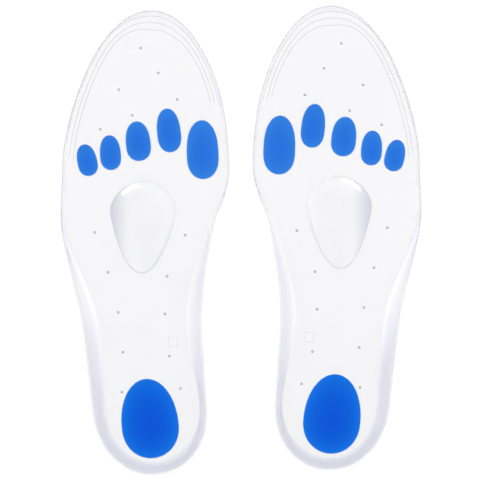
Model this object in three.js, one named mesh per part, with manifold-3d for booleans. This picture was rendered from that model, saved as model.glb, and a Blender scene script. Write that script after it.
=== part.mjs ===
// A pair of full-length insoles in clear silicone gel, with softer blue gel cushions let into them.
//
// Each insole is a one-piece clear body: a flat footbed, a heel cup whose wall leans outwards, a
// higher flange along the arch, three trim lines round the toe and a scatter of small vents.
// Five ball pads, one heel pad and one raised metatarsal dome sit in seats moulded in the body.
//
// Millimetres, z up. One insole is drawn with its heel end at y = 0 and its toe tip at
// y = insoleLength; x runs across it and is positive towards the arch. The right insole is the
// left one mirrored. The origin is under the middle of the pair, on the surface it lies on.
import * as THREE from 'three';
import { mergeVertices } from 'three/addons/utils/BufferGeometryUtils.js';
import Module from 'manifold-3d';

const wasm = await Module();
wasm.setup();

// ---- Driving dimensions ----

// Outline, seen from above. Fullness shapes a round end: 2 is an ellipse, more is squarer and
// less is more pointed.
const insoleLength = 280;
const ballWidth = 100.8;
const waistWidth = 71.6;
const heelWidth = 70.2;
const heelLength = 45; // heel end to the widest part of the heel
const waistFromHeel = 80;
const toeLength = 95; // toe tip to the widest part of the ball
const heelFullness = 2.4;
const toeFullness = 1.75;

// How far the middle of the outline lies towards the arch.
const heelEndShift = 0.6;
const waistShift = -8.4;
const waistShiftFromToe = 138;
const ballShift = -3.5;
const toeShift = -1.25;
const toeShiftFromToe = 30;
const toeTipShift = -0.3;

// Thickness of the footbed.
const heelThickness = 5;
const ballThickness = 3;
const toeThickness = 2.4;
const heelThicknessFromHeel = 62;
const ballThicknessFromToe = 105;
const toeTaperLength = 45;

// The wall round the heel and along the arch: its width seen from above, and how far its rim
// stands above the footbed.
const heelWallWidth = 7.9;
const innerHeelWallWidth = 5;
const innerHeelWallFromHeel = 42;
const outerWallWidth = 9.8;
const outerWallFromHeel = 88;
const outerWallEndFromToe = 116;
const archWallWidth = 9.6;
const archWallFromHeel = 92;
const archWallEndFromToe = 101;
const heelWallRise = 7.5;
const outerWallRise = 8;
const archWallRise = 14;
const archPeakFromHeel = 106;
const rimThickness = 1.8;
const edgeWidth = 0.9; // rounding left of the wall round the forefoot
const wallFoot = 2.6; // from the edge of the underside in to the crease above it

// Seats.
const clearance = 0.3;
const ballPadFloor = 0.8; // clear gel left under a ball pad
const heelPadFloor = 1.1;
const domeSeatDepth = 1;

// The row of ball pads, from the big toe side outwards. The pads share the width of the row.
// gap is the clear gel between a pad and the next one, and lean turns the toe end outwards.
const rowInnerMargin = 6.6;
const rowOuterMargin = 9;
const ballPads = [
  { name: 'first_metatarsal_pad', share: 0.263, gap: 3.6, length: 35.5, fromToe: 84, lean: 2 },
  { name: 'second_metatarsal_pad', share: 0.1966, gap: 3.8, length: 26.5, fromToe: 72.4, lean: 6 },
  { name: 'third_metatarsal_pad', share: 0.2047, gap: 2.9, length: 24, fromToe: 78.9, lean: 6 },
  { name: 'fourth_metatarsal_pad', share: 0.1724, gap: 1.8, length: 21, fromToe: 85.8, lean: 4.4 },
  { name: 'fifth_metatarsal_pad', share: 0.1633, gap: 0, length: 19.3, fromToe: 90.3, lean: 12.5 },
];
const ballPadCrown = 0.35;

// Heel pad.
const heelPadWidth = 34.4;
const heelPadLength = 48;
const heelPadShift = -1.3;
const heelPadFromHeel = 34.1;
const heelPadLean = 6.3;
const heelPadCrown = 0.6;

// Where the widest part of a pad lies, as a share of its length from the toe end.
const padWidestShare = 0.6;
const ballPadFullness = 2.6;
const heelPadFullness = 2.15;

// Metatarsal dome: a teardrop, blunt end forward.
const domeWidth = 39.6;
const domeFront = 18.5;
const domeBack = 37;
const domeHeight = 4.6;
const domeShift = -5.2;
const domeFromToe = 121.3;
const domeLean = -1.5;
const domeFrontFullness = 1.7;
const domeBackFullness = 1.2;

// Trim lines: how far inside the edge each one runs at the toe tip and along either side, and
// how many degrees round the toe it ends on either side.
const trimLines = [
  { tip: 3.5, outer: 1.1, inner: 2.2, outerEnd: 83, innerEnd: 66 },
  { tip: 7.5, outer: 4.1, inner: 4.6, outerEnd: 85, innerEnd: 65 },
  { tip: 11.9, outer: 6.5, inner: 6.9, outerEnd: 87, innerEnd: 64 },
];
const trimLineWidth = 0.7;
const trimLineDepth = 0.45;
const outerTrimSettles = 34; // degrees from the tip at which a line reaches its side distance
const innerTrimSettles = 50;

// Vents, right through the footbed.
const ventDiameter = 1.4;
const toeVents = [
  { shift: -6.6, fromToe: 22.8 },
  { shift: 4, fromToe: 37.8 },
  { shift: -19.7, fromToe: 47.8 },
  { shift: 15.4, fromToe: 53.8 },
  { shift: -11.6, fromToe: 63.3 },
  { shift: -30.9, fromToe: 71.8 },
];
const ventRows = [
  { outer: -17.8, inner: 17.4, innerAhead: 2.2 },
  { outer: -17.3, inner: 10.8, innerAhead: -2.4 },
  { outer: -20.1, inner: 8, innerAhead: -1 },
  { outer: -26.2, inner: 9.3, innerAhead: -2.4 },
  { outer: -34.3, inner: 20.2, innerAhead: -1.7 },
];
const firstVentRowFromHeel = 50;
const lastVentRowFromToe = 133.8;

// Blank plaque where a size would be marked.
const plaqueWidth = 6;
const plaqueLength = 6.4;
const plaqueDepth = 0.35;
const plaqueShift = 12.8;
const plaqueFromHeel = 80.2;

// The pair as it lies.
const pairGap = 13.9;
const pairStagger = 2.8; // how far the right insole lies ahead of the left one

// How finely outlines are cut into flats.
const heelSteps = 9;
const midfootSteps = 16;
const toeSteps = 13;
const ballPadSteps = 28;
const heelPadSteps = 40;
const domeSteps = 44;
const trimLineSteps = 44;
const ventSides = 8;

// ---- Places and sizes along the insole ----

const { lerp, smoothstep, degToRad } = THREE.MathUtils;

const fromToe = (distance) => insoleLength - distance;
const ballAt = fromToe(toeLength);

// A size that eases from stop to stop along the insole; each stop is [y, size].
function easedRun(stops) {
  return (y) => {
    const next = stops.findIndex(([at]) => at > y);
    if (next === 0) return stops[0][1];
    if (next < 0) return stops[stops.length - 1][1];
    const [startAt, start] = stops[next - 1];
    const [endAt, end] = stops[next];
    return lerp(start, end, smoothstep(y, startAt, endAt));
  };
}

// Half width of a round end, as a share, at a share of the way from its widest part to its tip.
function roundEnd(share, fullness) {
  return Math.sqrt(Math.max(0, 1 - share ** fullness));
}

const middleShift = easedRun([
  [0, heelEndShift],
  [fromToe(waistShiftFromToe), waistShift],
  [ballAt, ballShift],
  [fromToe(toeShiftFromToe), toeShift],
  [insoleLength, toeTipShift],
]);

const midfootWidth = easedRun([
  [heelLength, heelWidth],
  [waistFromHeel, waistWidth],
  [ballAt, ballWidth],
]);

const thickness = easedRun([
  [heelThicknessFromHeel, heelThickness],
  [fromToe(ballThicknessFromToe), ballThickness],
  [fromToe(toeTaperLength), ballThickness],
  [insoleLength, toeThickness],
]);

const outerWall = {
  width: easedRun([
    [0, heelWallWidth],
    [outerWallFromHeel, outerWallWidth],
    [fromToe(outerWallEndFromToe), edgeWidth],
  ]),
  rise: easedRun([
    [0, heelWallRise],
    [heelLength, outerWallRise],
    [fromToe(outerWallEndFromToe), 0],
  ]),
};

const archWall = {
  width: easedRun([
    [0, heelWallWidth],
    [innerHeelWallFromHeel, innerHeelWallWidth],
    [archWallFromHeel, archWallWidth],
    [fromToe(archWallEndFromToe), edgeWidth],
  ]),
  rise: easedRun([
    [0, heelWallRise],
    [archPeakFromHeel, archWallRise],
    [fromToe(archWallEndFromToe), 0],
  ]),
};

function halfWidth(y) {
  if (y < heelLength) return (heelWidth / 2) * roundEnd(1 - y / heelLength, heelFullness);
  if (y > ballAt) return (ballWidth / 2) * roundEnd((y - ballAt) / toeLength, toeFullness);
  return midfootWidth(y) / 2;
}

// A point on the edge; side is -1 on the outer side of the foot and 1 on the arch side.
function edgePoint(side, y) {
  return new THREE.Vector2(middleShift(y) + side * halfWidth(y), y);
}

// ---- Solids ----

function toSolid(geometry) {
  const bare = geometry.clone();
  bare.deleteAttribute('normal');
  bare.deleteAttribute('uv');
  const merged = mergeVertices(bare);
  const vertProperties = new Float32Array(merged.attributes.position.array);
  const triVerts = new Uint32Array(merged.index.array);
  return new wasm.Manifold(new wasm.Mesh({ numProp: 3, vertProperties, triVerts }));
}

function toGeometry(solid) {
  const mesh = solid.getMesh();
  const geometry = new THREE.BufferGeometry();
  geometry.setAttribute('position', new THREE.BufferAttribute(mesh.vertProperties, 3));
  geometry.setIndex(new THREE.BufferAttribute(mesh.triVerts, 1));
  return geometry;
}

// Closes a stack of rings, lowest first, into one solid. Each ring starts at its heel end and runs
// up the outer side to the toe end and back down the inner side, so its two sides face each other.
function stackRings(rings) {
  const count = rings[0].length;
  const half = count / 2;
  const corner = (ring, step) => ring * count + ((step + count) % count);
  const index = [];
  for (let ring = 0; ring + 1 < rings.length; ring += 1) {
    for (let step = 0; step < count; step += 1) {
      index.push(corner(ring, step), corner(ring + 1, step), corner(ring, step + 1));
      index.push(corner(ring, step + 1), corner(ring + 1, step), corner(ring + 1, step + 1));
    }
  }
  const top = rings.length - 1;
  for (let step = 0; step < half; step += 1) {
    if (step > 0) {
      index.push(corner(top, step), corner(top, -step), corner(top, step + 1));
      index.push(corner(0, step), corner(0, step + 1), corner(0, -step));
    }
    if (step + 1 < half) {
      index.push(corner(top, -step), corner(top, -step - 1), corner(top, step + 1));
      index.push(corner(0, -step), corner(0, step + 1), corner(0, -step - 1));
    }
  }
  const points = rings.flat();
  const geometry = new THREE.BufferGeometry();
  geometry.setFromPoints(points);
  geometry.setIndex(index);
  return geometry;
}

// ---- The clear body ----

// The y of each station, closest together where the ends curve most.
function stations() {
  const places = [];
  for (let step = 0; step < heelSteps; step += 1) {
    places.push(heelLength * (1 - Math.cos((Math.PI / 2) * (step / heelSteps))));
  }
  for (let step = 0; step < midfootSteps; step += 1) {
    places.push(lerp(heelLength, ballAt, step / midfootSteps));
  }
  for (let step = 0; step <= toeSteps; step += 1) {
    places.push(ballAt + toeLength * Math.sin((Math.PI / 2) * (step / toeSteps)));
  }
  return places;
}

// The edge as a ring, with the inward direction and the wall's section at each point.
function edgeRing() {
  const places = stations();
  const between = places.slice(1, -1);
  const ring = [
    { side: -1, y: 0 },
    ...between.map((y) => ({ side: -1, y })),
    { side: 1, y: insoleLength },
    ...between.toReversed().map((y) => ({ side: 1, y })),
  ];
  const edge = ring.map(({ side, y }) => edgePoint(side, y));
  return ring.map(({ side, y }, step) => {
    const before = edge[(step + edge.length - 1) % edge.length];
    const after = edge[(step + 1) % edge.length];
    const along = after.clone().sub(before).normalize();
    const wall = side < 0 ? outerWall : archWall;
    return {
      edge: edge[step],
      inward: new THREE.Vector2(along.y, -along.x),
      width: wall.width(y),
      rise: wall.rise(y),
    };
  });
}

// One ring of the wall: inset and height are worked out from the wall's section at each point.
function wallRing(ring, section) {
  return ring.map((point) => {
    const crease = point.edge.clone().addScaledVector(point.inward, point.width);
    const floor = thickness(crease.y);
    const wallShare = smoothstep(point.rise, 0, rimThickness * 2);
    const lip = lerp(edgeWidth / 2, rimThickness, wallShare);
    const [inset, height] = section({ ...point, floor, lip, wallShare, rim: floor + point.rise });
    const place = point.edge.clone().addScaledVector(point.inward, inset);
    return new THREE.Vector3(place.x, place.y, height);
  });
}

function bodyBlank() {
  const ring = edgeRing();
  const footInset = (point) => Math.max(edgeWidth / 2, point.width - wallFoot);
  const rimSide = (point) => point.rim - point.lip / 2;
  const rimInside = (point) => point.rim - (point.lip / 2) * point.wallShare;
  return stackRings([
    wallRing(ring, (point) => [footInset(point), 0]),
    wallRing(ring, (point) => [footInset(point) * 0.5, rimSide(point) * 0.25]),
    wallRing(ring, (point) => [footInset(point) * 0.18, rimSide(point) * 0.58]),
    wallRing(ring, (point) => [0, rimSide(point)]),
    wallRing(ring, (point) => [point.lip * 0.3, point.rim]),
    wallRing(ring, (point) => [point.lip * 0.7, point.rim]),
    wallRing(ring, (point) => [point.lip, rimInside(point)]),
    wallRing(ring, (point) => [
      lerp(point.lip, point.width, 0.55),
      lerp(rimInside(point), point.floor, 0.65),
    ]),
    wallRing(ring, (point) => [point.width, point.floor]),
  ]);
}

// A point on the edge at an angle round the toe, 0 at the tip and negative on the outer side.
function toeEdgePoint(angle) {
  return edgePoint(Math.sign(angle) || 1, ballAt + toeLength * Math.cos(degToRad(angle)));
}

function trimLineCut(line) {
  const nudge = 0.5;
  const points = [];
  for (let step = 0; step <= trimLineSteps; step += 1) {
    const angle = lerp(-line.outerEnd, line.innerEnd, step / trimLineSteps);
    const [sideInset, settles] = angle < 0
      ? [line.outer, outerTrimSettles]
      : [line.inner, innerTrimSettles];
    const inset = lerp(line.tip, sideInset, smoothstep(Math.abs(angle), 0, settles));
    const along = toeEdgePoint(angle + nudge).sub(toeEdgePoint(angle - nudge)).normalize();
    const inward = new THREE.Vector2(along.y, -along.x);
    const place = toeEdgePoint(angle).addScaledVector(inward, inset);
    points.push(new THREE.Vector3(place.x, place.y, thickness(place.y)));
  }
  const section = new THREE.Shape();
  section.moveTo(trimLineDepth, 0);
  section.lineTo(0, trimLineWidth / 2);
  section.lineTo(-trimLineDepth, 0);
  section.lineTo(0, -trimLineWidth / 2);
  const path = new THREE.CatmullRomCurve3(points);
  const settings = { steps: trimLineSteps, bevelEnabled: false, extrudePath: path };
  return toSolid(new THREE.ExtrudeGeometry(section, settings));
}

function ventCut(shift, y) {
  const height = heelThickness * 3;
  const vent = new THREE.CylinderGeometry(ventDiameter / 2, ventDiameter / 2, height, ventSides);
  vent.rotateX(Math.PI / 2);
  vent.translate(shift, y, 0);
  return toSolid(vent);
}

function ventCuts() {
  const firstRow = firstVentRowFromHeel;
  const lastRow = fromToe(lastVentRowFromToe);
  const rows = ventRows.flatMap(({ outer, inner, innerAhead }, row) => {
    const y = lerp(firstRow, lastRow, row / (ventRows.length - 1));
    return [ventCut(outer, y), ventCut(inner, y + innerAhead)];
  });
  return [...rows, ...toeVents.map((vent) => ventCut(vent.shift, fromToe(vent.fromToe)))];
}

function plaqueCut() {
  const plaque = new THREE.BoxGeometry(plaqueWidth, plaqueLength, plaqueDepth * 2);
  plaque.translate(plaqueShift, plaqueFromHeel, thickness(plaqueFromHeel));
  return toSolid(plaque);
}

// ---- Inserts: pads and dome ----

// An egg-shaped or teardrop outline as a ring, drawn about its widest part; grow widens it all
// round.
function eggRing(egg, grow = 0) {
  const ring = [];
  for (let step = 0; step < egg.steps; step += 1) {
    const angle = (step / egg.steps) * Math.PI * 2;
    const ahead = Math.cos(angle) < 0;
    const reach = (ahead ? egg.front : egg.back) + grow;
    const fullness = ahead ? egg.frontFullness : egg.backFullness;
    const share = Math.abs(Math.cos(angle));
    const half = (egg.width / 2 + grow) * roundEnd(share, fullness);
    const side = Math.abs(Math.sin(angle)) < 1e-9 ? 0 : -Math.sign(Math.sin(angle));
    ring.push(new THREE.Vector2(side * half, -Math.cos(angle) * reach));
  }
  return ring;
}

// Turns and moves a ring to its place and gives it a height; share draws it in to its middle.
function placeRing(ring, egg, share, height) {
  const origin = new THREE.Vector2();
  return ring.map((point) => {
    const drawn = point.clone().multiplyScalar(share).rotateAround(origin, degToRad(egg.lean));
    return new THREE.Vector3(drawn.x + egg.x, drawn.y + egg.y, height);
  });
}

function seatCut(egg) {
  const ring = eggRing(egg, clearance);
  const top = egg.top + egg.crown + clearance;
  return toSolid(stackRings([placeRing(ring, egg, 1, egg.seat), placeRing(ring, egg, 1, top)]));
}

// profile lists [share of the outline, share of the crown] from the rim to the middle.
function insert(egg, profile) {
  const ring = eggRing(egg);
  const crown = profile.map(([share, rise]) => {
    return placeRing(ring, egg, share, egg.top + egg.crown * rise);
  });
  return stackRings([placeRing(ring, egg, 1, egg.seat + clearance), ...crown]);
}

// A pad is placed by the middle of its length.
function padEgg({ width, length, x, y, lean, fullness, seat, crown, steps }) {
  const offset = new THREE.Vector2(0, length * (0.5 - padWidestShare));
  offset.rotateAround(new THREE.Vector2(), degToRad(lean));
  return {
    width,
    front: length * padWidestShare,
    back: length * (1 - padWidestShare),
    frontFullness: fullness,
    backFullness: fullness,
    x: x + offset.x,
    y: y + offset.y,
    top: thickness(y),
    lean,
    seat,
    crown,
    steps,
  };
}

function ballPadEggs() {
  const rowInner = ballShift + ballWidth / 2 - rowInnerMargin;
  const rowOuter = ballShift - ballWidth / 2 + rowOuterMargin;
  const gaps = ballPads.reduce((total, pad) => total + pad.gap, 0);
  const padsWidth = rowInner - rowOuter - gaps;
  let innerEdge = rowInner;
  return ballPads.map((pad) => {
    const width = padsWidth * pad.share;
    const x = innerEdge - width / 2;
    innerEdge -= width + pad.gap;
    return padEgg({
      width,
      length: pad.length,
      x,
      y: fromToe(pad.fromToe),
      lean: pad.lean,
      fullness: ballPadFullness,
      seat: ballPadFloor,
      crown: ballPadCrown,
      steps: ballPadSteps,
    });
  });
}

function heelPadEgg() {
  return padEgg({
    width: heelPadWidth,
    length: heelPadLength,
    x: heelPadShift,
    y: heelPadFromHeel,
    lean: heelPadLean,
    fullness: heelPadFullness,
    seat: heelPadFloor,
    crown: heelPadCrown,
    steps: heelPadSteps,
  });
}

function domeEgg() {
  const y = fromToe(domeFromToe);
  return {
    width: domeWidth,
    front: domeFront,
    back: domeBack,
    frontFullness: domeFrontFullness,
    backFullness: domeBackFullness,
    x: domeShift,
    y,
    lean: domeLean,
    top: thickness(y),
    seat: thickness(y) - domeSeatDepth,
    crown: domeHeight,
    steps: domeSteps,
  };
}

const padProfile = [[1, 0], [0.84, 0.65], [0.45, 1]];
const domeProfile = [[1, 0], [0.97, 0.25], [0.88, 0.52], [0.74, 0.75], [0.55, 0.9], [0.25, 1]];

// ---- Materials ----

function clearGel() {
  return new THREE.MeshStandardMaterial({
    color: '#f1f1f7',
    roughness: 0.22,
    metalness: 0,
    transparent: true,
    opacity: 0.45,
  });
}

function clearDomeGel() {
  return new THREE.MeshStandardMaterial({
    color: '#eceef4',
    roughness: 0.15,
    metalness: 0,
    transparent: true,
    opacity: 0.5,
  });
}

function blueGel() {
  return new THREE.MeshStandardMaterial({ color: '#1a65d9', roughness: 0.35, metalness: 0 });
}

// ---- Assembly ----

function gelBody(eggs) {
  const cuts = [
    ...eggs.map(seatCut),
    ...trimLines.map(trimLineCut),
    ...ventCuts(),
    plaqueCut(),
  ];
  return toGeometry(cuts.reduce((body, cut) => body.subtract(cut), toSolid(bodyBlank())));
}

const ballEggs = ballPadEggs();
const heelEgg = heelPadEgg();
const dome = domeEgg();
const pieces = [
  { name: 'gel_body', geometry: gelBody([...ballEggs, heelEgg, dome]), finish: clearGel },
  { name: 'metatarsal_dome', geometry: insert(dome, domeProfile), finish: clearDomeGel },
  { name: 'heel_pad', geometry: insert(heelEgg, padProfile), finish: blueGel },
  ...ballPads.map((pad, number) => ({
    name: pad.name,
    geometry: insert(ballEggs[number], padProfile),
    finish: blueGel,
  })),
];

function insole(side) {
  const group = new THREE.Group();
  pieces.forEach(({ name, geometry, finish }) => {
    const mesh = new THREE.Mesh(geometry, finish());
    mesh.name = `${side}_${name}`;
    group.add(mesh);
  });
  return group;
}

const leftInsole = insole('left');
const rightInsole = insole('right');
const innerReach = ballShift + ballWidth / 2;
leftInsole.position.x = -innerReach - pairGap / 2;
rightInsole.position.x = innerReach + pairGap / 2;
rightInsole.position.y = pairStagger;
rightInsole.scale.x = -1;

const pair = new THREE.Group();
pair.add(leftInsole, rightInsole);
pair.position.y = -(insoleLength + pairStagger) / 2;
pair.updateMatrixWorld(true);

export default pair;
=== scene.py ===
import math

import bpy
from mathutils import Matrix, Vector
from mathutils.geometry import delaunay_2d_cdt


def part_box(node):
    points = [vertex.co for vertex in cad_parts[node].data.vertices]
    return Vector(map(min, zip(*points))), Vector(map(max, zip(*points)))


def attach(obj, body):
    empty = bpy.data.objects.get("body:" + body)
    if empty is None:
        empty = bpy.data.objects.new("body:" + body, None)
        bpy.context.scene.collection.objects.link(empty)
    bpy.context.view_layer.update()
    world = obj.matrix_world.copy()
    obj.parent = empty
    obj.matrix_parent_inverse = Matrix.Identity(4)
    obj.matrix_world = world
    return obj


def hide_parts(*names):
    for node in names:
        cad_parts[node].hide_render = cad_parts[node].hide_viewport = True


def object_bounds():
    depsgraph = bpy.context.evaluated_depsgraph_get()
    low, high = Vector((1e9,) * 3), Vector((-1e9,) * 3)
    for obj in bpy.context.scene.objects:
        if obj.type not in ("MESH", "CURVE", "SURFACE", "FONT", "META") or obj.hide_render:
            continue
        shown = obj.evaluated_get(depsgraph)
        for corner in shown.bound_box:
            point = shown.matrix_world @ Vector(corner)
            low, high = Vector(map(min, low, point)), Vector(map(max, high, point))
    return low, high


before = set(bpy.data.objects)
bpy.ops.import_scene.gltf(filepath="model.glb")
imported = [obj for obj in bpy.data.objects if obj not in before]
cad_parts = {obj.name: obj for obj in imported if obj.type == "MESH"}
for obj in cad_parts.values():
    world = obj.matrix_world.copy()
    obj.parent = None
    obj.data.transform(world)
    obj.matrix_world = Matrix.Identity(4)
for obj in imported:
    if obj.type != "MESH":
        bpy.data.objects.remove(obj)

# A left and a right insole in clear silicone gel, lying foot side up on a pale table.
#
# Each insole is drawn once in its own millimetres, with the heel end at y = 0 and x positive towards
# the arch, and is then laid into the box that the frame gives its gel body. The right insole is the
# left one mirrored.

cad_low, cad_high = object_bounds()

MM = 0.001

# ---- Sizes of one insole, in millimetres ----

# Outline, seen from above. Fullness shapes a round end: 2 is an ellipse and more is squarer.
INSOLE_LENGTH = 280.0
BALL_WIDTH = 100.8
WAIST_WIDTH = 71.6
HEEL_WIDTH = 70.2
HEEL_LENGTH = 45.0
WAIST_FROM_HEEL = 80.0
TOE_LENGTH = 95.0
HEEL_FULLNESS = 2.4
TOE_FULLNESS = 1.75

BALL_AT = INSOLE_LENGTH - TOE_LENGTH

# How far the middle of the outline lies towards the arch, as [y, shift].
MIDDLE_SHIFT = [
    [0, 0.6],
    [INSOLE_LENGTH - 138, -8.4],
    [BALL_AT, -3.5],
    [INSOLE_LENGTH - 30, -1.25],
    [INSOLE_LENGTH, -0.3],
]

# Thickness of the footbed, as [y, thickness].
FOOTBED_THICKNESS = [
    [62, 5.0],
    [INSOLE_LENGTH - 105, 3.0],
    [INSOLE_LENGTH - 45, 3.0],
    [INSOLE_LENGTH, 2.4],
]

# The wall: its width seen from above, and how far its rim stands above the footbed.
EDGE_WIDTH = 0.9
OUTER_WALL_WIDTH = [[0, 7.9], [88, 9.8], [INSOLE_LENGTH - 116, EDGE_WIDTH]]
OUTER_WALL_RISE = [[0, 7.5], [HEEL_LENGTH, 8.0], [INSOLE_LENGTH - 116, 0.0]]
ARCH_WALL_WIDTH = [[0, 7.9], [42, 5.0], [92, 9.6], [INSOLE_LENGTH - 101, EDGE_WIDTH]]
ARCH_WALL_RISE = [[0, 7.5], [106, 14.0], [INSOLE_LENGTH - 101, 0.0]]
FLANGE_STARTS = [55, 90]  # where the heel cup's wall turns into the arch flange
RIM_THICKNESS = 1.8
WALL_FOOT = 2.6  # how far inside the crease the wall stands on the table
LAST_LINE_SHARE = 0.93  # where an extra line lies just before the crease, which keeps the crease crisp

# Seats, and the fine gap left round an insert once it is bonded in.
BALL_PAD_FLOOR = 0.8
HEEL_PAD_FLOOR = 1.1
DOME_SEAT_DEPTH = 1.0
BOND_GAP = 0.04

# The lines of a seat's rounded rim, as [how far outside the insert, height from its top], with None where
# the line follows the footbed, and the lines of its floor as shares of the insert's outline.
SEAT_RIM = [[0.5, None], [0.2, -0.06], [0.1, -0.28]]
SEAT_FLOOR = [0.96, 0.88, 0.76, 0.62, 0.46, 0.3, 0.14]

# Ball pads, from the big toe side outwards: how far each one leans to the outer side, in degrees.
BALL_PADS = {"first": 2, "second": 6, "third": 6, "fourth": 4.4, "fifth": 12.5}
HEEL_PAD_LEAN = 6.3
PAD_WIDEST_SHARE = 0.6
BALL_PAD_FULLNESS = 2.6
HEEL_PAD_FULLNESS = 2.15
PAD_SHOULDER = 0.3
BALL_PAD_BOWL = 0.5
HEEL_PAD_BOWL = 1.6

# Metatarsal dome: a teardrop, blunt end forward.
DOME_FRONT_SHARE = 1 / 3
DOME_FRONT_FULLNESS = 1.7
DOME_BACK_FULLNESS = 1.2
DOME_LEAN = -1.5
DOME_ROUNDNESS = 2.3
DOME_SOFTNESS = 1.3
DOME_RINGS = 30
FLANK_FROM = 0.35  # where the painted shade on the dome's darker flank starts, as a share of the way out from its middle

# Trim lines: inset from the edge at the toe tip and along the outer and inner sides, and the angles
# round the toe at which they end.
TRIM_LINES = [
    [3.5, 1.1, 2.2, 83, 66],
    [7.5, 4.1, 4.6, 85, 65],
    [11.9, 6.5, 6.9, 87, 64],
]
TRIM_LINE_WIDTH = 0.7
TRIM_LINE_DEPTH = 0.45
OUTER_TRIM_SETTLES = 34
INNER_TRIM_SETTLES = 50
TRIM_LINE_STEPS = 150
TRIM_LINE_FADE = 8  # steps over which a line rises to the footbed at each end
TRIM_LINE_SECTION = [[-1, 0], [-0.45, 0.75], [0, 1], [0.45, 0.75], [1, 0]]  # [across, depth] as shares

# Vents, right through the footbed, each in a small dimple. The ones in the toe are [x, from the toe
# end], and the rows behind the ball are [x of the outer one, x of the inner one, its lead].
VENT_DIAMETER = 1.0
VENT_DIMPLE = 3.0
VENT_DIMPLE_DEPTH = 0.35
VENT_WAIST = 0.5
VENT_SIDES = 16
VENT_DIMPLE_RINGS = [[1, 0, 0.0], [0.82, 0.3, 0.0], [0.66, 0.8, 0.56]]  # [radius, depth, painted shade] as shares; the inner ring is darkened with painted shade
TOE_VENTS = [[-6.6, 22.8], [4, 37.8], [-19.7, 47.8], [15.4, 53.8], [-11.6, 63.3], [-30.9, 71.8]]
VENT_ROWS = [[-17.8, 17.4, 2.2], [-17.3, 10.8, -2.4], [-20.1, 8, -1], [-26.2, 9.3, -2.4], [-34.3, 20.2, -1.7]]
FIRST_ROW_AT = 50
LAST_ROW_AT = INSOLE_LENGTH - 133.8

# Blank plaque where a size would be marked.
PLAQUE_SIZE = [6.0, 6.4]
PLAQUE_DEPTH = 0.35
PLAQUE_AT = [12.8, 80.2]
PLAQUE_CORNER = 1.0
PLAQUE_CORNER_STEPS = 4

# Painted shade on the gel, from place to place: 0 is water clear, the wall's value is the painted grey shade
# of its slope, and 1 is the painted dark in a vent's hole. The arch flange is painted lighter than the outer
# wall, and the thin edge, the trim lines' grooves, the plaque's line and the dome's outer flank get painted
# shade too.
BED_TINT = 0.04
EDGE_SHADE = 0.54
WALL_SHADE = 0.5
FLANGE_SHADE = 0.26
LINE_SHADE = 0.8
VENT_SHADE = 1.0
FLANK_SHADE = 0.5
VENT_FROST = 0.6  # how satin the gel is: 0 is the glossy footbed and 1 is the wall
EDGE_FROST = 0.6

# Wall heights between which its finish and its painted shade change, and the shares of its width over which
# the painted shade does.
STANDING_WALL = [0, 5.0]
SHADED_WALL = [3.0, 7.5]
SATIN_WALL = [0, 2.0]
RIM_CLEARS = [0, 0.25]
FLANGE_FADES = [0.35, 0.75]
WALL_SHADE_GROWS = [0.92, 1.12]  # the painted shade at the edge and, darker, at the crease, as shares of the wall's

# [inset in millimetres, depth as a share of the plaque's, painted shade]; the darker line round the sunk
# plaque is painted shade
PLAQUE_RINGS = [[0, 0, BED_TINT], [0.25, 0.7, LINE_SHADE], [0.6, 1, 0.0]]

# How finely the surfaces are drawn.
HEEL_STEPS = 64
MIDFOOT_STEPS = 110
TOE_STEPS = 110
SECTION_STEPS = 3
PAD_STEPS = 96
CROWN_RINGS = [0.08, 0.2, 0.34, 0.48, 0.62, 0.74, 0.84, 0.91, 0.96]  # as shares of a pad's outline
SHOULDER_RINGS = [0, 0.35, 0.6, 0.8, 0.92, 0.98, 1]  # as shares of the way round the shoulder
GRID_SPACING = 2.4
BOUND_STEPS = 180
SEAT_BOUND_STEPS = 24
SHARP_EDGE = 38  # degrees between two faces above which their edge stays crisp
CLEAR_OF_EDGE = 1.2  # how far the footbed's points keep from its other lines, in millimetres
CLEAR_OF_TRIM_LINE = 1.6
CLEAR_OF_VENT = 0.6
CLEAR_OF_PLAQUE = 0.6

# How large the patterns in the gel are, in millimetres. The mould's real grain is a few hundredths of a
# millimetre, which is too fine to show, so it is drawn coarse and very shallow.
CLEAR_CLOUD = 22.2
BLUE_CLOUD = 8.33
CLEAR_GRAIN = 1.11
BLUE_GRAIN = 1.43
GRAIN_DEPTH = 0.03
CLOUD_CONTRAST = 0.02  # how far the cloudiness moves the tint either way

SILICONE_IOR = 1.41

# Studio, in metres and in brightness.
TABLE_REACH = 15.0
TABLE_DROP = 0.0002
STUDIO_GLOW = 1.5
OVERHEAD_GLOW = 0.1
OVERHEAD_FROM = 0.75  # as the sine of the angle above the horizon
OVERHEAD_TO = 0.97
WINDOW_SIZE = [0.4, 0.3]
WINDOW_POWER = 5.5
WINDOW_AT = (0.36, 0.55, 0.42)
WINDOW_AIMED_AT = (0.06, 0.02, 0.0)
LENS_LENGTH = 1000.0  # in millimetres: a long lens, so that the pair is seen almost without perspective
SENSOR_WIDTH = 36.0
SEEN_WIDTH = 0.2892
CAMERA_OFF_MIDDLE = (-0.0006, 0.0002)
CAMERA_REACH = 60.0


# ---- Plain helpers ----


def lerp(start, end, share):
    return start + (end - start) * share


def smoothstep(value, low, high):
    share = min(1.0, max(0.0, (value - low) / (high - low)))
    return share * share * (3 - 2 * share)


def eased(stops, y):
    """The size at y of a run that eases from stop to stop."""
    if y <= stops[0][0]:
        return stops[0][1]
    for (start_at, start), (end_at, end) in zip(stops, stops[1:]):
        if y < end_at:
            return lerp(start, end, smoothstep(y, start_at, end_at))
    return stops[-1][1]


def round_end(share, fullness):
    """Half width of a round end, as a share of its widest part."""
    return math.sqrt(max(0.0, 1 - share**fullness))


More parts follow.
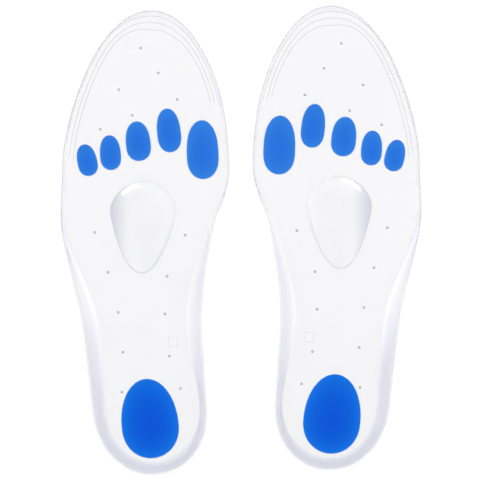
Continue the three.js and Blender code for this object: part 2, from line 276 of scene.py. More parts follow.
def smooth_through(points, steps):
    """Points along a smooth curve through the given ones; the first and last only set its ends' direction."""
    run = []
    for before, start, end, after in zip(points, points[1:], points[2:], points[3:]):
        for step in range(steps):
            t = step / steps
            run.append(
                0.5
                * (
                    2 * start
                    + (end - before) * t
                    + (2 * before - 5 * start + 4 * end - after) * t**2
                    + (3 * start - before - 3 * end + after) * t**3
                )
            )
    run.append(points[-2])
    return run


# ---- The outline ----


def half_width(y):
    if y < HEEL_LENGTH:
        return HEEL_WIDTH / 2 * round_end(1 - y / HEEL_LENGTH, HEEL_FULLNESS)
    if y > BALL_AT:
        return BALL_WIDTH / 2 * round_end((y - BALL_AT) / TOE_LENGTH, TOE_FULLNESS)
    stops = [[HEEL_LENGTH, HEEL_WIDTH], [WAIST_FROM_HEEL, WAIST_WIDTH], [BALL_AT, BALL_WIDTH]]
    return eased(stops, y) / 2


def edge_point(side, y):
    """A point on the edge: side is -1 on the outer side of the foot and 1 on the arch side."""
    return Vector((eased(MIDDLE_SHIFT, y) + side * half_width(y), y))


def footbed(y):
    return eased(FOOTBED_THICKNESS, y)


def stations():
    quarter = math.pi / 2
    heel = [HEEL_LENGTH * (1 - math.cos(quarter * step / HEEL_STEPS)) for step in range(HEEL_STEPS)]
    waist = [lerp(HEEL_LENGTH, BALL_AT, step / MIDFOOT_STEPS) for step in range(MIDFOOT_STEPS)]
    toe = [BALL_AT + TOE_LENGTH * math.sin(quarter * step / TOE_STEPS) for step in range(TOE_STEPS + 1)]
    return heel + waist + toe


def edge_ring():
    """The edge from the heel end up the outer side, as (point, inward direction, width, rise, arch share)."""
    between = stations()[1:-1]
    ring = [(-1, 0.0)] + [(-1, y) for y in between]
    ring += [(1, INSOLE_LENGTH)] + [(1, y) for y in reversed(between)]
    points = [edge_point(side, y) for side, y in ring]
    edge = []
    for step, (side, y) in enumerate(ring):
        along = (points[(step + 1) % len(ring)] - points[step - 1]).normalized()
        inward = Vector((along.y, -along.x))
        width = eased(OUTER_WALL_WIDTH if side < 0 else ARCH_WALL_WIDTH, y)
        rise = eased(OUTER_WALL_RISE if side < 0 else ARCH_WALL_RISE, y)
        arch = smoothstep(y, *FLANGE_STARTS) if side > 0 else 0.0
        edge.append((points[step], inward, width, rise, arch))
    return edge


def wall_section(width, rise, floor):
    """The wall's section as (inset, height), from the underside round the rim down to the crease."""
    standing = smoothstep(rise, 0, RIM_THICKNESS * 2)
    lip = lerp(EDGE_WIDTH / 2, RIM_THICKNESS, standing)
    rim = floor + rise
    foot = max(EDGE_WIDTH / 2, width - WALL_FOOT)
    rim_side = rim - lip / 2
    rim_inside = rim - lip / 2 * standing
    half_way = (lerp(lip, width, 0.5), lerp(rim_inside, floor, 0.58))
    corners = [
        (foot + 1, 0),
        (foot, 0),
        (foot * 0.5, rim_side * 0.25),
        (foot * 0.18, rim_side * 0.58),
        (0, rim_side),
        (lip * 0.3, rim),
        (lip * 0.7, rim),
        (lip, rim_inside),
        half_way,
        (width, floor),
        (2 * width - half_way[0], 2 * floor - half_way[1]),
    ]
    section = smooth_through([Vector(corner) for corner in corners], SECTION_STEPS)
    return section[:-1] + [section[-2].lerp(section[-1], LAST_LINE_SHARE), section[-1]]


# ---- Eggs: the outlines of pads and dome ----


class Egg:
    """An egg-shaped outline that just fills a box of the frame, with the heights of the piece in it."""

    def __init__(self, box_low, box_high, lean, front_share, fullness_front, fullness_back):
        size = (box_high - box_low) / MM
        self.lean = math.radians(lean)
        self.front_share = front_share
        self.fullness = (fullness_front, fullness_back)
        self.width, self.length = size.x, size.y
        for _ in range(8):
            ring = self.ring(PAD_STEPS, about=(0, 0))
            wide = max(point.x for point in ring) - min(point.x for point in ring)
            tall = max(point.y for point in ring) - min(point.y for point in ring)
            self.width *= size.x / wide
            self.length *= size.y / tall
        ring = self.ring(PAD_STEPS, about=(0, 0))
        low = Vector((min(point.x for point in ring), min(point.y for point in ring)))
        self.middle = Vector((box_low.x, box_low.y)) / MM - low

    def ring(self, steps, grow=0.0, share=1.0, about=None):
        """Counter-clockwise from the back end; grow widens the outline and share draws it in."""
        middle = self.middle if about is None else Vector(about)
        turn_x, turn_y = math.cos(self.lean), math.sin(self.lean)
        points = []
        for step in range(steps):
            angle = 2 * math.pi * step / steps
            ahead = math.cos(angle) < 0
            reach = self.length * (self.front_share if ahead else 1 - self.front_share) + grow
            fullness = self.fullness[0 if ahead else 1]
            half = (self.width / 2 + grow) * round_end(abs(math.cos(angle)), fullness)
            x = math.copysign(half, math.sin(angle)) * share
            y = -math.cos(angle) * reach * share
            points.append(middle + Vector((x * turn_x - y * turn_y, x * turn_y + y * turn_x)))
        return points


# ---- Laying one insole into the frame ----


LEFT_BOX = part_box("left_gel_body")
RIGHT_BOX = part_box("right_gel_body")
own_low_x = min(edge_point(-1, y).x for y in stations())
LEFT_ORIGIN = Vector((LEFT_BOX[0].x - own_low_x * MM, LEFT_BOX[0].y, LEFT_BOX[0].z))
RIGHT_ORIGIN = Vector((RIGHT_BOX[1].x + own_low_x * MM, RIGHT_BOX[0].y, RIGHT_BOX[0].z))


def lay(point, side):
    """A point of one insole, in its own millimetres, as a place in the frame, in metres."""
    if side == "left":
        return LEFT_ORIGIN + point * MM
    return RIGHT_ORIGIN + Vector((-point.x, point.y, point.z)) * MM


def local_box(node):
    """A left node's box measured from the left insole's own origin, in metres."""
    low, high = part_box(node)
    return low - LEFT_ORIGIN, high - LEFT_ORIGIN


def make_piece(name, points, faces, side, shares=None, skin=0, crisp=()):
    """A mesh object from one insole's points and faces.

    shares holds one number per point, kept for the material. The first points, as many as skin says, are
    one smooth skin that is crisp only along the rings listed in crisp.
    """
    mesh = bpy.data.meshes.new(name)
    turned = faces if side == "left" else [tuple(reversed(face)) for face in faces]
    mesh.from_pydata([lay(point, side) for point in points], [], turned)
    mesh.validate()
    for label, values in (shares or {}).items():
        attribute = mesh.attributes.new(label, "FLOAT", "POINT")
        attribute.data.foreach_set("value", values)
    mesh.polygons.foreach_set("use_smooth", [True] * len(mesh.polygons))
    mesh.set_sharp_from_angle(angle=math.radians(SHARP_EDGE))
    for edge in mesh.edges:
        if max(edge.vertices) < skin:
            edge.use_edge_sharp = any(edge.vertices[0] in ring and edge.vertices[1] in ring for ring in crisp)
    mesh.update()
    piece = bpy.data.objects.new(name, mesh)
    bpy.context.scene.collection.objects.link(piece)
    shading = piece.modifiers.new("flats_stay_flat", "WEIGHTED_NORMAL")
    shading.mode = "FACE_AREA"
    shading.keep_sharp = True
    return piece


# ---- The clear gel body ----


def trim_line_points(line):
    """The middle of a trim line with its direction inwards, from the outer side round the toe."""
    tip, outer, inner, outer_end, inner_end = line

    def toe_edge(angle):
        return edge_point(-1 if angle < 0 else 1, BALL_AT + TOE_LENGTH * math.cos(math.radians(angle)))

    run = []
    for step in range(TRIM_LINE_STEPS + 1):
        angle = lerp(-outer_end, inner_end, step / TRIM_LINE_STEPS)
        side_inset, settles = (outer, OUTER_TRIM_SETTLES) if angle < 0 else (inner, INNER_TRIM_SETTLES)
        inset = lerp(tip, side_inset, smoothstep(abs(angle), 0, settles))
        along = (toe_edge(angle + 0.5) - toe_edge(angle - 0.5)).normalized()
        inward = Vector((along.y, -along.x))
        reach = min(TRIM_LINE_WIDTH / 2, inset - EDGE_WIDTH - 0.05)
        run.append((toe_edge(angle) + inward * inset, inward * reach))
    return run


def vent_places():
    places = [(x, INSOLE_LENGTH - from_toe) for x, from_toe in TOE_VENTS]
    for row, (outer, inner, ahead) in enumerate(VENT_ROWS):
        y = lerp(FIRST_ROW_AT, LAST_ROW_AT, row / (len(VENT_ROWS) - 1))
        places += [(outer, y), (inner, y + ahead)]
    return places


def circle(middle, radius):
    turns = [2 * math.pi * step / VENT_SIDES for step in range(VENT_SIDES)]
    return [Vector((middle[0] + radius * math.cos(t), middle[1] + radius * math.sin(t))) for t in turns]


def inside(point, ring):
    """True if a point lies inside a closed ring."""
    found = False
    before = ring[-1]
    for corner in ring:
        if (corner.y > point.y) != (before.y > point.y):
            cross = (before.x - corner.x) * (point.y - corner.y) / (before.y - corner.y) + corner.x
            if point.x < cross:
                found = not found
        before = corner
    return found


def wall_finish_and_shade(inset, width, rise, arch):
    """How satin the wall is at an inset from the edge, and its painted shade there: grey on the slope, darker
    towards the crease, lighter on the arch flange and grey along the thin edge.
    """
    standing = smoothstep(rise, *STANDING_WALL)
    if inset > width * 0.999:
        return 0.0, lerp(EDGE_SHADE, BED_TINT, standing)
    across = inset / width
    flange = FLANGE_SHADE * (1 - smoothstep(across, *FLANGE_FADES))
    wall = WALL_SHADE * lerp(*WALL_SHADE_GROWS, across)
    full = lerp(wall, flange, arch) * smoothstep(rise, *SHADED_WALL)
    painted_shade = full * smoothstep(across, *RIM_CLEARS)
    frost = lerp(EDGE_FROST, 1.0, smoothstep(rise, *SATIN_WALL))
    return frost, lerp(EDGE_SHADE, painted_shade, standing)


class Sheet:
    """A flat drawing of lines with heights, which becomes one triangulated face of the gel body."""

    def __init__(self):
        self.points, self.heights, self.edges, self.painted_shades = [], [], [], []

    # depth is the painted shade that these points carry to the material, not a depth in the gel.
    def add(self, points, heights, closed=True, depth=BED_TINT):
        start = len(self.points)
        count = len(points)
        self.points += [Vector((point.x, point.y)) for point in points]
        self.heights += list(heights)
        self.painted_shades += [depth] * count
        last = count if closed else count - 1
        self.edges += [(start + step, start + (step + 1) % count) for step in range(last)]
        return range(start, start + count)

    def triangles(self, outline):
        """Triangles between the lines, none of them across a hollow of the outline."""
        places, _, faces, origins, _, _ = delaunay_2d_cdt(self.points, self.edges, [], 1, 1e-5, True)
        if len(places) != len(self.points):
            met = [place for place, origin in zip(places, origins) if not origin]
            raise RuntimeError(f"lines of the gel body meet, first at {met[:1]}")
        first = [origin[0] for origin in origins]
        kept = []
        for face in faces:
            corners = tuple(first[corner] for corner in face)
            a, b, c = (self.points[corner] for corner in corners)
            if max(corners) >= len(outline) or inside((a + b + c) / 3, outline):
                kept.append(corners)
        return kept


def seat_rings(egg, floor, bowl, top):
    """The lines of a seat, outermost first: [grow, share, height]."""
    lines = [[grow, 1.0, None if drop is None else top + drop] for grow, drop in SEAT_RIM]
    lines.append([BOND_GAP, 1.0, floor + bowl])
    for share in SEAT_FLOOR:
        lines.append([0.0, share, floor + bowl * share**2])
    return lines


def draw_seats(sheet, eggs):
    for egg in eggs:
        for grow, share, height in seat_rings(egg, egg.floor, egg.bowl, egg.top):
            ring = egg.ring(PAD_STEPS, grow, share)
            sheet.add(ring, [footbed(point.y) if height is None else height for point in ring])


def draw_trim_lines(sheet):
    for line in TRIM_LINES:
        middle = trim_line_points(line)
        last = len(middle) - 1
        ends = [min(1.0, min(step, last - step) / TRIM_LINE_FADE) for step in range(last + 1)]
        for across, depth in TRIM_LINE_SECTION:
            run = [point + half * across for point, half in middle]
            sunk = [footbed(point.y) - depth * TRIM_LINE_DEPTH * end for point, end in zip(run, ends)]
            # The groove is darkened towards its bottom with painted shade.
            sheet.add(run, sunk, closed=False, depth=lerp(BED_TINT, LINE_SHADE, depth))


def draw_vents(sheet, vents):
    """The vents' dimples, with the mouth of each vent's hole; the inner ring and the mouth are darkened with
    painted shade. Returns the mouths.
    """
    for x, y in vents:
        for radius, depth, painted_shade in VENT_DIMPLE_RINGS:
            ring = circle((x, y), radius * VENT_DIMPLE / 2)
            sheet.add(ring, [footbed(y) - depth * VENT_DIMPLE_DEPTH] * VENT_SIDES, depth=painted_shade)
    mouths = []
    for vent in vents:
        heights = [footbed(vent[1]) - VENT_DIMPLE_DEPTH] * VENT_SIDES
        mouths.append(sheet.add(circle(vent, VENT_DIAMETER / 2), heights, depth=VENT_SHADE))
    return mouths


def draw_plaque(sheet):
    """The blank plaque: a rounded square, sunk inside a line darkened with painted shade."""
    middle_x, middle_y = PLAQUE_AT
    for draw_in, depth, painted_shade in PLAQUE_RINGS:
        half_x, half_y = PLAQUE_SIZE[0] / 2 - draw_in, PLAQUE_SIZE[1] / 2 - draw_in
        corner = PLAQUE_CORNER - draw_in
        ring = []
        for quarter, (sign_x, sign_y) in enumerate(((1, 1), (-1, 1), (-1, -1), (1, -1))):
            for step in range(PLAQUE_CORNER_STEPS + 1):
                turn = (quarter + step / PLAQUE_CORNER_STEPS) * math.pi / 2
                x = middle_x + sign_x * (half_x - corner) + corner * math.cos(turn)
                y = middle_y + sign_y * (half_y - corner) + corner * math.sin(turn)
                ring.append(Vector((x, y)))
        sheet.add(ring, [footbed(point.y) - depth * PLAQUE_DEPTH for point in ring], depth=painted_shade)


def on_plain_footbed(point, bound, seats, lines, vents):
    """True if a point lies on the footbed with room round it, away from everything that is drawn there."""
    if min((point - near).length for near in bound) < CLEAR_OF_EDGE or not inside(point, bound):
        return False
    if any(inside(point, seat) for seat in seats):
        return False
    if any((point - near).length < CLEAR_OF_TRIM_LINE for near in lines):
        return False
    if any((point - Vector(vent)).length < VENT_DIMPLE / 2 + CLEAR_OF_VENT for vent in vents):
        return False
    past_x = abs(point.x - PLAQUE_AT[0]) - PLAQUE_SIZE[0] / 2
    past_y = abs(point.y - PLAQUE_AT[1]) - PLAQUE_SIZE[1] / 2
    return max(past_x, past_y) >= CLEAR_OF_PLAQUE


def fill_footbed(sheet, crease_ring, eggs, vents):
    """Spreads points evenly over the plain footbed, so that it follows its thickness smoothly."""
    bound = [point.xy for point in crease_ring[:: max(1, len(crease_ring) // BOUND_STEPS)]]
    seats = [egg.ring(SEAT_BOUND_STEPS, grow=CLEAR_OF_EDGE) for egg in eggs]
    lines = [point for line in TRIM_LINES for point, _ in trim_line_points(line)[::4]]
    for row in range(1, int(INSOLE_LENGTH / GRID_SPACING)):
        y = row * GRID_SPACING
        shift = eased(MIDDLE_SHIFT, y) + (GRID_SPACING / 2 if row % 2 else 0.0)
        columns = int(half_width(y) / GRID_SPACING)
        for column in range(-columns, columns + 1):
            point = Vector((shift + column * GRID_SPACING, y))
            if on_plain_footbed(point, bound, seats, lines, vents):
                sheet.add([point], [footbed(y)], closed=False)


class Moulding:
    """The gel body as it is drawn: points with their frost and painted shade, and faces. It starts as the
    wall.
    """

    def __init__(self, edge):
        self.points, self.frosts, self.painted_shades, self.faces = [], [], [], []
        self.around = len(edge)
        sections = []
        for point, inward, width, rise, _ in edge:
            crease = point + inward * width
            sections.append(wall_section(width, rise, footbed(crease.y)))
        self.rows = len(sections[0])
        for row in range(self.rows):
            for (point, inward, width, rise, arch), section in zip(edge, sections):
                place = point + inward * section[row].x
                # A point's finish is its frost and its painted shade.
                finish = wall_finish_and_shade(section[row].x, width, rise, arch) if row else (0.0, BED_TINT)
                self.add_point(place, section[row].y, *finish)
        for row in range(self.rows - 1):
            self.join(self.row(row), self.row(row + 1))

    def add_point(self, place, height, frost, depth):
        self.points.append(Vector((place.x, place.y, height)))
        self.frosts.append(frost)
        self.painted_shades.append(depth)

    def row(self, number):
        """The points of one row of the wall, by number: 0 is the foot and the last one is the crease."""
        return range(number * self.around, (number + 1) * self.around)

    def places(self, row):
        return [self.points[index] for index in row]

    def join(self, near, far):
        """A band of faces between two rings of as many points."""
        for step in range(len(near)):
            after = (step + 1) % len(near)
            self.faces.append((near[step], far[step], far[after], near[after]))

    def take(self, sheet, rings, facing_up, edge_row):
        """Adds a sheet's triangles, joined to a row of the wall at its outline and open at the rings."""
        start = len(self.points) - self.around
        for index in range(self.around, len(sheet.points)):
            self.add_point(sheet.points[index], sheet.heights[index], 0.0, sheet.painted_shades[index])

        def at(index):
            return edge_row[index] if index < self.around else start + index

        hole_of = {index: number for number, ring in enumerate(rings) for index in ring}
        for face in sheet.triangles(sheet.points[: self.around]):
            holes = {hole_of.get(corner) for corner in face}
            if len(holes) == 1 and None not in holes:
                continue
            a, b, c = (sheet.points[corner] for corner in face)
            up = (b - a).cross(c - a) > 0
            turned = face if up == facing_up else tuple(reversed(face))
            self.faces.append(tuple(at(corner) for corner in turned))
        return [[at(index) for index in ring] for ring in rings]

    def bore(self, vent, mouth, end):
        """The wall of a vent, from its mouth over its narrow waist to its end in the sole, painted dark as
        the shade in the hole.
        """
        start = len(self.points)
        height = footbed(vent[1]) - VENT_DIMPLE_DEPTH - VENT_WAIST
        for place in circle(vent, VENT_WAIST / 2):
            self.add_point(place, height, VENT_FROST, VENT_SHADE)
        for step in range(VENT_SIDES):
            after = (step + 1) % VENT_SIDES
            waist, waist_after = start + step, start + after
            self.faces.append((mouth[step], mouth[after], waist_after, waist))
            self.faces.append((waist, waist_after, end[after], end[step]))


def gel_body(side, eggs):
    """The clear moulding: wall, footbed and sole, with seats for the inserts and open at the vents."""
    body = Moulding(edge_ring())
    foot = body.row(0)
    crease = body.row(body.rows - 1)
    vents = vent_places()

    top = Sheet()
    crease_ring = body.places(crease)
    top.add(crease_ring, [point.z for point in crease_ring])
    draw_seats(top, eggs)
    draw_trim_lines(top)
    mouths = draw_vents(top, vents)
    draw_plaque(top)
    fill_footbed(top, crease_ring, eggs, vents)

    sole = Sheet()
    sole.add(body.places(foot), [0.0] * body.around)
    ends = [sole.add(circle(vent, VENT_DIAMETER / 2), [0.0] * VENT_SIDES) for vent in vents]

    upper = body.take(top, mouths, True, crease)
    lower = body.take(sole, ends, False, foot)
    for vent, mouth, end in zip(vents, upper, lower):
        body.bore(vent, mouth, end)
    # The depth attribute holds each point's painted shade.
    shares = {"frost": body.frosts, "depth": body.painted_shades}
    skin = body.rows * body.around
    return make_piece(f"{side}_clear_gel_body", body.points, body.faces, side, shares, skin, (foot, crease))


# ---- Inserts ----


def insert(name, egg, side, top_at, floor_at, shares):
    """A closed insert: rings from its middle out over the top and back in under it."""
    points, faces = [], []
    rows = [(share, top_at(share)) for share in shares]
    rows += [(share, floor_at(share)) for share in reversed(shares)]
    for share, height in rows:
        for point in egg.ring(PAD_STEPS, 0.0, share):
            points.append(Vector((point.x, point.y, height)))
    for row in range(len(rows) - 1):
        for step in range(PAD_STEPS):
            after = (step + 1) % PAD_STEPS
            here, beyond = row * PAD_STEPS, (row + 1) * PAD_STEPS
            faces.append((here + step, beyond + step, beyond + after, here + after))
    for row, height, up in ((0, top_at(0), True), (len(rows) - 1, floor_at(0), False)):
        middle = len(points)
        points.append(Vector((egg.middle.x, egg.middle.y, height)))
        for step in range(PAD_STEPS):
            corner = row * PAD_STEPS + step
            after = row * PAD_STEPS + (step + 1) % PAD_STEPS
            faces.append((middle, corner, after) if up else (middle, after, corner))
    return make_piece(name, points, faces, side)


def cushion(name, egg, side, crown):
    """A soft gel pad: crowned on top, round-shouldered, and bowl-shaped underneath."""
    shoulder_share = 1 - PAD_SHOULDER * 2 / egg.width

    def top_at(share):
        drop = 0.0
        if share > shoulder_share:
            turn = (share - shoulder_share) / (1 - shoulder_share)
            drop = PAD_SHOULDER * (1 - math.sqrt(max(0.0, 1 - turn**2)))
        return egg.top + crown * (1 - share**3) - drop

    def floor_at(share):
        return egg.floor + egg.bowl * share**2 + BOND_GAP

    shoulder = [lerp(shoulder_share, 1, turn) for turn in SHOULDER_RINGS]
    return insert(name, egg, side, top_at, floor_at, CROWN_RINGS + shoulder)


def dome(name, egg, side, height):
    """The raised teardrop: a soft round cap. Its flank towards the outer side of the foot is darkened with
    painted shade.
    """

    def top_at(share):
        return egg.top + height * round_end(share, DOME_ROUNDNESS) ** DOME_SOFTNESS

    def floor_at(share):
        return egg.floor + egg.bowl * share**2 + BOND_GAP

    shares = [math.sin(math.pi / 2 * step / DOME_RINGS) for step in range(1, DOME_RINGS + 1)]
    piece = insert(name, egg, side, top_at, floor_at, shares)
    outwards = -1 if side == "left" else 1
    middle = lay(egg.middle.to_3d(), side)
    reach = egg.width / 2 * MM
    # Painted shade, darker towards the outer edge of the dome.
    painted_shades = []
    for vertex in piece.data.vertices:
        off_middle = (vertex.co.x - middle.x) * outwards / reach
        painted_shades.append(lerp(BED_TINT, FLANK_SHADE, smoothstep(off_middle, FLANK_FROM, 1.0)))
    piece.data.attributes.new("depth", "FLOAT", "POINT").data.foreach_set("value", painted_shades)
    return piece


# ---- Materials ----


def linear(hex_colour):
    """An sRGB hex colour as linear RGBA."""
    parts = [int(hex_colour[at : at + 2], 16) / 255 for at in (1, 3, 5)]
    return [part / 12.92 if part <= 0.04045 else ((part + 0.055) / 1.055) ** 2.4 for part in parts] + [1.0]


def add_node(tree, kind, inputs=None, **settings):
    """Adds a node with its settings. An input is a value, or the output that it is linked from."""
    node = tree.nodes.new(kind)
    for name, value in settings.items():
        setattr(node, name, value)
    for name, value in (inputs or {}).items():
        if isinstance(value, bpy.types.NodeSocket):
            tree.links.new(value, node.inputs[name])
        else:
            node.inputs[name].default_value = value
    return node


def new_material(name):
    material = bpy.data.materials.new(name)
    material.use_nodes = True
    material.node_tree.nodes.clear()
    return material, material.node_tree


def moulded_grain(tree, place, size, detail):
    """The faint grain that a mould leaves, as a normal."""
    grain = add_node(
        tree, "ShaderNodeTexNoise", {"Vector": place, "Scale": 1 / (size * MM), "Detail": detail}
    )
    bump = add_node(
        tree, "ShaderNodeBump",
        {"Height": grain.outputs["Fac"], "Strength": 0.2, "Distance": GRAIN_DEPTH * MM},
    )
    return bump.outputs["Normal"]


def silicone_gel(name, clear, wall_shade_colour, vent_shade_colour, absorb, density, clearness):
    """Clear silicone gel, cast: a wet gloss over a faint grain, and a little cloudiness in its depth.

    Its colour goes from clear over a painted grey shade to a painted dark as the depth attribute of each
    point, which holds its painted shade, goes from 0 to 1.
    """
    material, tree = new_material(name)
    place = add_node(tree, "ShaderNodeTexCoord").outputs["Object"]
    depth = add_node(tree, "ShaderNodeAttribute", attribute_name="depth").outputs["Fac"]
    cloudy = add_node(
        tree, "ShaderNodeTexNoise", {"Vector": place, "Scale": 1 / (CLEAR_CLOUD * MM), "Detail": 2.0}
    )
    uneven = add_node(
        tree, "ShaderNodeMapRange",
        {
            "Value": cloudy.outputs["Fac"],
            "From Min": 0.3,
            "From Max": 0.7,
            "To Min": -CLOUD_CONTRAST,
            "To Max": CLOUD_CONTRAST,
        },
    ).outputs["Result"]
    shown = add_node(
        tree, "ShaderNodeMath", {0: depth, 1: uneven}, operation="ADD", use_clamp=True
    ).outputs[0]
    painted_shade = add_node(tree, "ShaderNodeValToRGB", {"Fac": shown})
    painted_shade.color_ramp.elements[0].color = linear(clear)
    painted_shade.color_ramp.elements[1].color = linear(vent_shade_colour)
    painted_shade.color_ramp.elements.new(WALL_SHADE).color = linear(wall_shade_colour)
    shader = add_node(
        tree, "ShaderNodeBsdfPrincipled",
        {
            "Base Color": painted_shade.outputs["Color"],
            "Roughness": 0.06,
            "IOR": SILICONE_IOR,
            "Transmission Weight": clearness,
            "Normal": moulded_grain(tree, place, CLEAR_GRAIN, 3.0),
        },
    )
    volume = add_node(tree, "ShaderNodeVolumeAbsorption", {"Color": linear(absorb), "Density": density})
    add_node(tree, "ShaderNodeOutputMaterial", {"Surface": shader.outputs[0], "Volume": volume.outputs[0]})
    return material


def satin_wall(material, roughness, clearness):
    """Gives a gel the satin skin of a textured mould, as far as the frost of each point says."""
    tree = material.node_tree
    shader = tree.nodes["Principled BSDF"]
    frost = add_node(tree, "ShaderNodeAttribute", attribute_name="frost").outputs["Fac"]
    for socket, satin in (("Roughness", roughness), ("Transmission Weight", clearness)):
        glossy = shader.inputs[socket].default_value
        finish = add_node(tree, "ShaderNodeMapRange", {"Value": frost, "To Min": glossy, "To Max": satin})
        tree.links.new(finish.outputs["Result"], shader.inputs[socket])


def blue_gel(name, tints, absorb, density):
    """Pigmented silicone gel, cast: blue by what it absorbs, so it deepens with its thickness.

    A slight mottle between two near tints, and a softer gloss than the clear gel's.
    """
    material, tree = new_material(name)
    place = add_node(tree, "ShaderNodeTexCoord").outputs["Object"]
    cloudy = add_node(
        tree, "ShaderNodeTexNoise", {"Vector": place, "Scale": 1 / (BLUE_CLOUD * MM), "Detail": 3.0}
    )
    mottle = add_node(
        tree, "ShaderNodeMix",
        {0: cloudy.outputs["Fac"], 6: linear(tints[0]), 7: linear(tints[1])},
        data_type="RGBA",
    )
    shader = add_node(
        tree, "ShaderNodeBsdfPrincipled",
        {
            "Base Color": mottle.outputs[2],
            "Roughness": 0.2,
            "IOR": SILICONE_IOR,
            "Transmission Weight": 1.0,
            "Normal": moulded_grain(tree, place, BLUE_GRAIN, 2.0),
        },
    )
    volume = add_node(tree, "ShaderNodeVolumeAbsorption", {"Color": linear(absorb), "Density": density})
    add_node(tree, "ShaderNodeOutputMaterial", {"Surface": shader.outputs[0], "Volume": volume.outputs[0]})
    return material


# ---- Assembly ----


def cushion_egg(node, lean, fullness, floor, bowl):
    """The egg of a pad that fills its node's box, with the heights of its top, crown, floor and bowl."""
    low, high = local_box(node)
    egg = Egg(low, high, lean, PAD_WIDEST_SHARE, fullness, fullness)
    egg.top = footbed((low.y + high.y) / 2 / MM)
    egg.crown = high.z / MM - egg.top
    egg.floor = floor
    egg.bowl = bowl
    return egg


def dome_egg():
    """The teardrop that fills the dome's box, standing in its shallow seat."""
    low, high = local_box("left_metatarsal_dome")
    egg = Egg(low, high, DOME_LEAN, DOME_FRONT_SHARE, DOME_FRONT_FULLNESS, DOME_BACK_FULLNESS)
    egg.top = footbed(egg.middle.y)
    egg.crown = high.z / MM - egg.top
    egg.floor = egg.top - DOME_SEAT_DEPTH
    egg.bowl = 0.0
    return egg


heel_egg = cushion_egg("left_heel_pad", HEEL_PAD_LEAN, HEEL_PAD_FULLNESS, HEEL_PAD_FLOOR, HEEL_PAD_BOWL)
ball_eggs = {
    place: cushion_egg(f"left_{place}_metatarsal_pad", lean, BALL_PAD_FULLNESS, BALL_PAD_FLOOR, BALL_PAD_BOWL)
    for place, lean in BALL_PADS.items()
}
teardrop = dome_egg()

# Clear silicone gel from a polished mould: water clear and wet-looking on the footbed. The mould is
# textured along the wall, so the wall is satin. Its faint lilac grey along the wall and the dark of the
# vents, trim lines and plaque line are painted shade.
clear_gel = silicone_gel("clear_silicone_gel", "#ffffff", "#f1f0f8", "#75757b", "#d0d0e0", 26.0, 0.94)
satin_wall(clear_gel, roughness=0.35, clearness=0.35)

# The same gel cast a little milkier, so that the dome shows as a piece of its own on the clear footbed. Its
# grey on the outer flank is painted shade.
dome_gel = silicone_gel("clear_dome_gel", "#fdfdff", "#dadae2", "#75757b", "#d0d0e0", 12.0, 0.3)

# Soft blue gel. The heel pad is the thicker and the deeper blue.
ball_gel = blue_gel("blue_ball_gel", ("#68bcfd", "#6ec2ff"), "#00bcf6", 720.0)
heel_gel = blue_gel("blue_heel_gel", ("#28adfd", "#2eb3ff"), "#00bcf6", 600.0)


def finish_piece(piece, material, side, node):
    """Gives a piece its gel, sets it on its insole and puts it in the place of its node."""
    piece.data.materials.append(material)
    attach(piece, f"{side}_insole")
    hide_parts(f"{side}_{node}")


domes = {}
for side in ("left", "right"):
    body = gel_body(side, [*ball_eggs.values(), heel_egg, teardrop])
    finish_piece(body, clear_gel, side, "gel_body")
    raised = dome(f"{side}_clear_dome", teardrop, side, teardrop.crown)
    finish_piece(raised, dome_gel, side, "metatarsal_dome")
    heel = cushion(f"{side}_blue_heel_cushion", heel_egg, side, heel_egg.crown)
    finish_piece(heel, heel_gel, side, "heel_pad")
    domes[side] = raised
    for place, egg in ball_eggs.items():
        pad = cushion(f"{side}_blue_{place}_cushion", egg, side, egg.crown)
        finish_piece(pad, ball_gel, side, f"{place}_metatarsal_pad")


# ---- Table, light and camera ----


def pale_table():
    """A white acrylic top lit from below, so that it stays white and the clear gel casts no grey shadow."""
    mesh = bpy.data.meshes.new("pale_table")
    height = cad_low.z - TABLE_DROP
    signs = ((-1, -1), (1, -1), (1, 1), (-1, 1))
    corners = [(x * TABLE_REACH, y * TABLE_REACH, height) for x, y in signs]
    mesh.from_pydata(corners, [], [(0, 1, 2, 3)])
    table = bpy.data.objects.new("pale_table", mesh)
    bpy.context.scene.collection.objects.link(table)
    material, tree = new_material("lit_white_acrylic")
    shader = add_node(
        tree, "ShaderNodeBsdfPrincipled",
        {
            "Base Color": linear("#404040"),
            "Roughness": 0.9,
            "Specular IOR Level": 0.0,
            "Emission Color": linear("#ffffff"),
            "Emission Strength": 1.0,
        },
    )
    add_node(tree, "ShaderNodeOutputMaterial", {"Surface": shader.outputs[0]})
    mesh.materials.append(material)


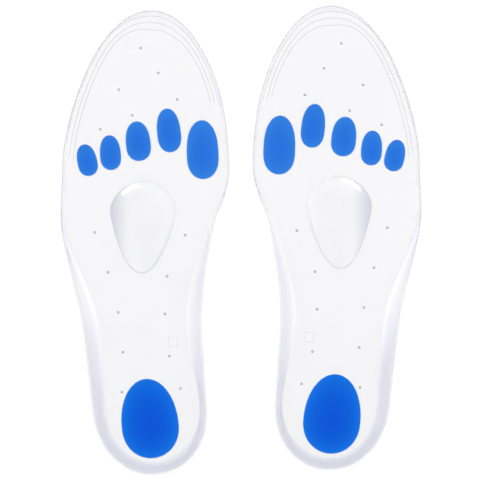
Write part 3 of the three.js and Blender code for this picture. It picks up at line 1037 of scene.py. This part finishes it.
def studio_light():
    """A bright white studio with a dark patch overhead, which keeps the flat gel free of glare."""
    world = bpy.data.worlds.new("white_studio")
    bpy.context.scene.world = world
    world.use_nodes = True
    tree = world.node_tree
    tree.nodes.clear()
    direction = add_node(tree, "ShaderNodeTexCoord").outputs["Generated"]
    up = add_node(tree, "ShaderNodeSeparateXYZ", {"Vector": direction}).outputs["Z"]
    glow = add_node(
        tree, "ShaderNodeMapRange",
        {
            "Value": up,
            "From Min": OVERHEAD_FROM,
            "From Max": OVERHEAD_TO,
            "To Min": STUDIO_GLOW,
            "To Max": OVERHEAD_GLOW,
        },
        interpolation_type="SMOOTHSTEP",
    ).outputs["Result"]
    background = add_node(tree, "ShaderNodeBackground", {"Color": linear("#ffffff"), "Strength": glow})
    add_node(tree, "ShaderNodeOutputWorld", {"Surface": background.outputs[0]})


def side_window(side, raised):
    """A soft lamp ahead of an insole and to its outer side, which shows as a highlight on its dome only."""
    outwards = -1 if side == "left" else 1
    lamp = bpy.data.lights.new(f"{side}_window", "AREA")
    lamp.shape = "RECTANGLE"
    lamp.size, lamp.size_y = WINDOW_SIZE
    lamp.energy = WINDOW_POWER
    window = bpy.data.objects.new(f"{side}_window", lamp)
    bpy.context.scene.collection.objects.link(window)
    mirrored = Vector((outwards, 1, 1))
    window.location = mirrored * Vector(WINDOW_AT)
    aim = mirrored * Vector(WINDOW_AIMED_AT) - window.location
    window.rotation_euler = aim.to_track_quat("-Z", "Y").to_euler()
    window.visible_camera = False
    window.visible_diffuse = False
    window.visible_transmission = False
    lit = bpy.data.collections.new(f"{side}_window_lights")
    lit.objects.link(raised)
    window.light_linking.receiver_collection = lit


def overhead_camera():
    """A camera straight above the pair, with the toes up in its view."""
    middle = (cad_low + cad_high) / 2
    lens = bpy.data.cameras.new("overhead_camera")
    lens.lens = LENS_LENGTH
    lens.sensor_width = SENSOR_WIDTH
    lens.clip_end = CAMERA_REACH
    camera = bpy.data.objects.new("overhead_camera", lens)
    bpy.context.scene.collection.objects.link(camera)
    off_x, off_y = CAMERA_OFF_MIDDLE
    camera.location = (middle.x + off_x, middle.y + off_y, SEEN_WIDTH * LENS_LENGTH / SENSOR_WIDTH)
    bpy.context.scene.camera = camera


pale_table()
studio_light()
for side, raised in domes.items():
    side_window(side, raised)
overhead_camera()
bpy.context.scene.view_settings.view_transform = "Standard"
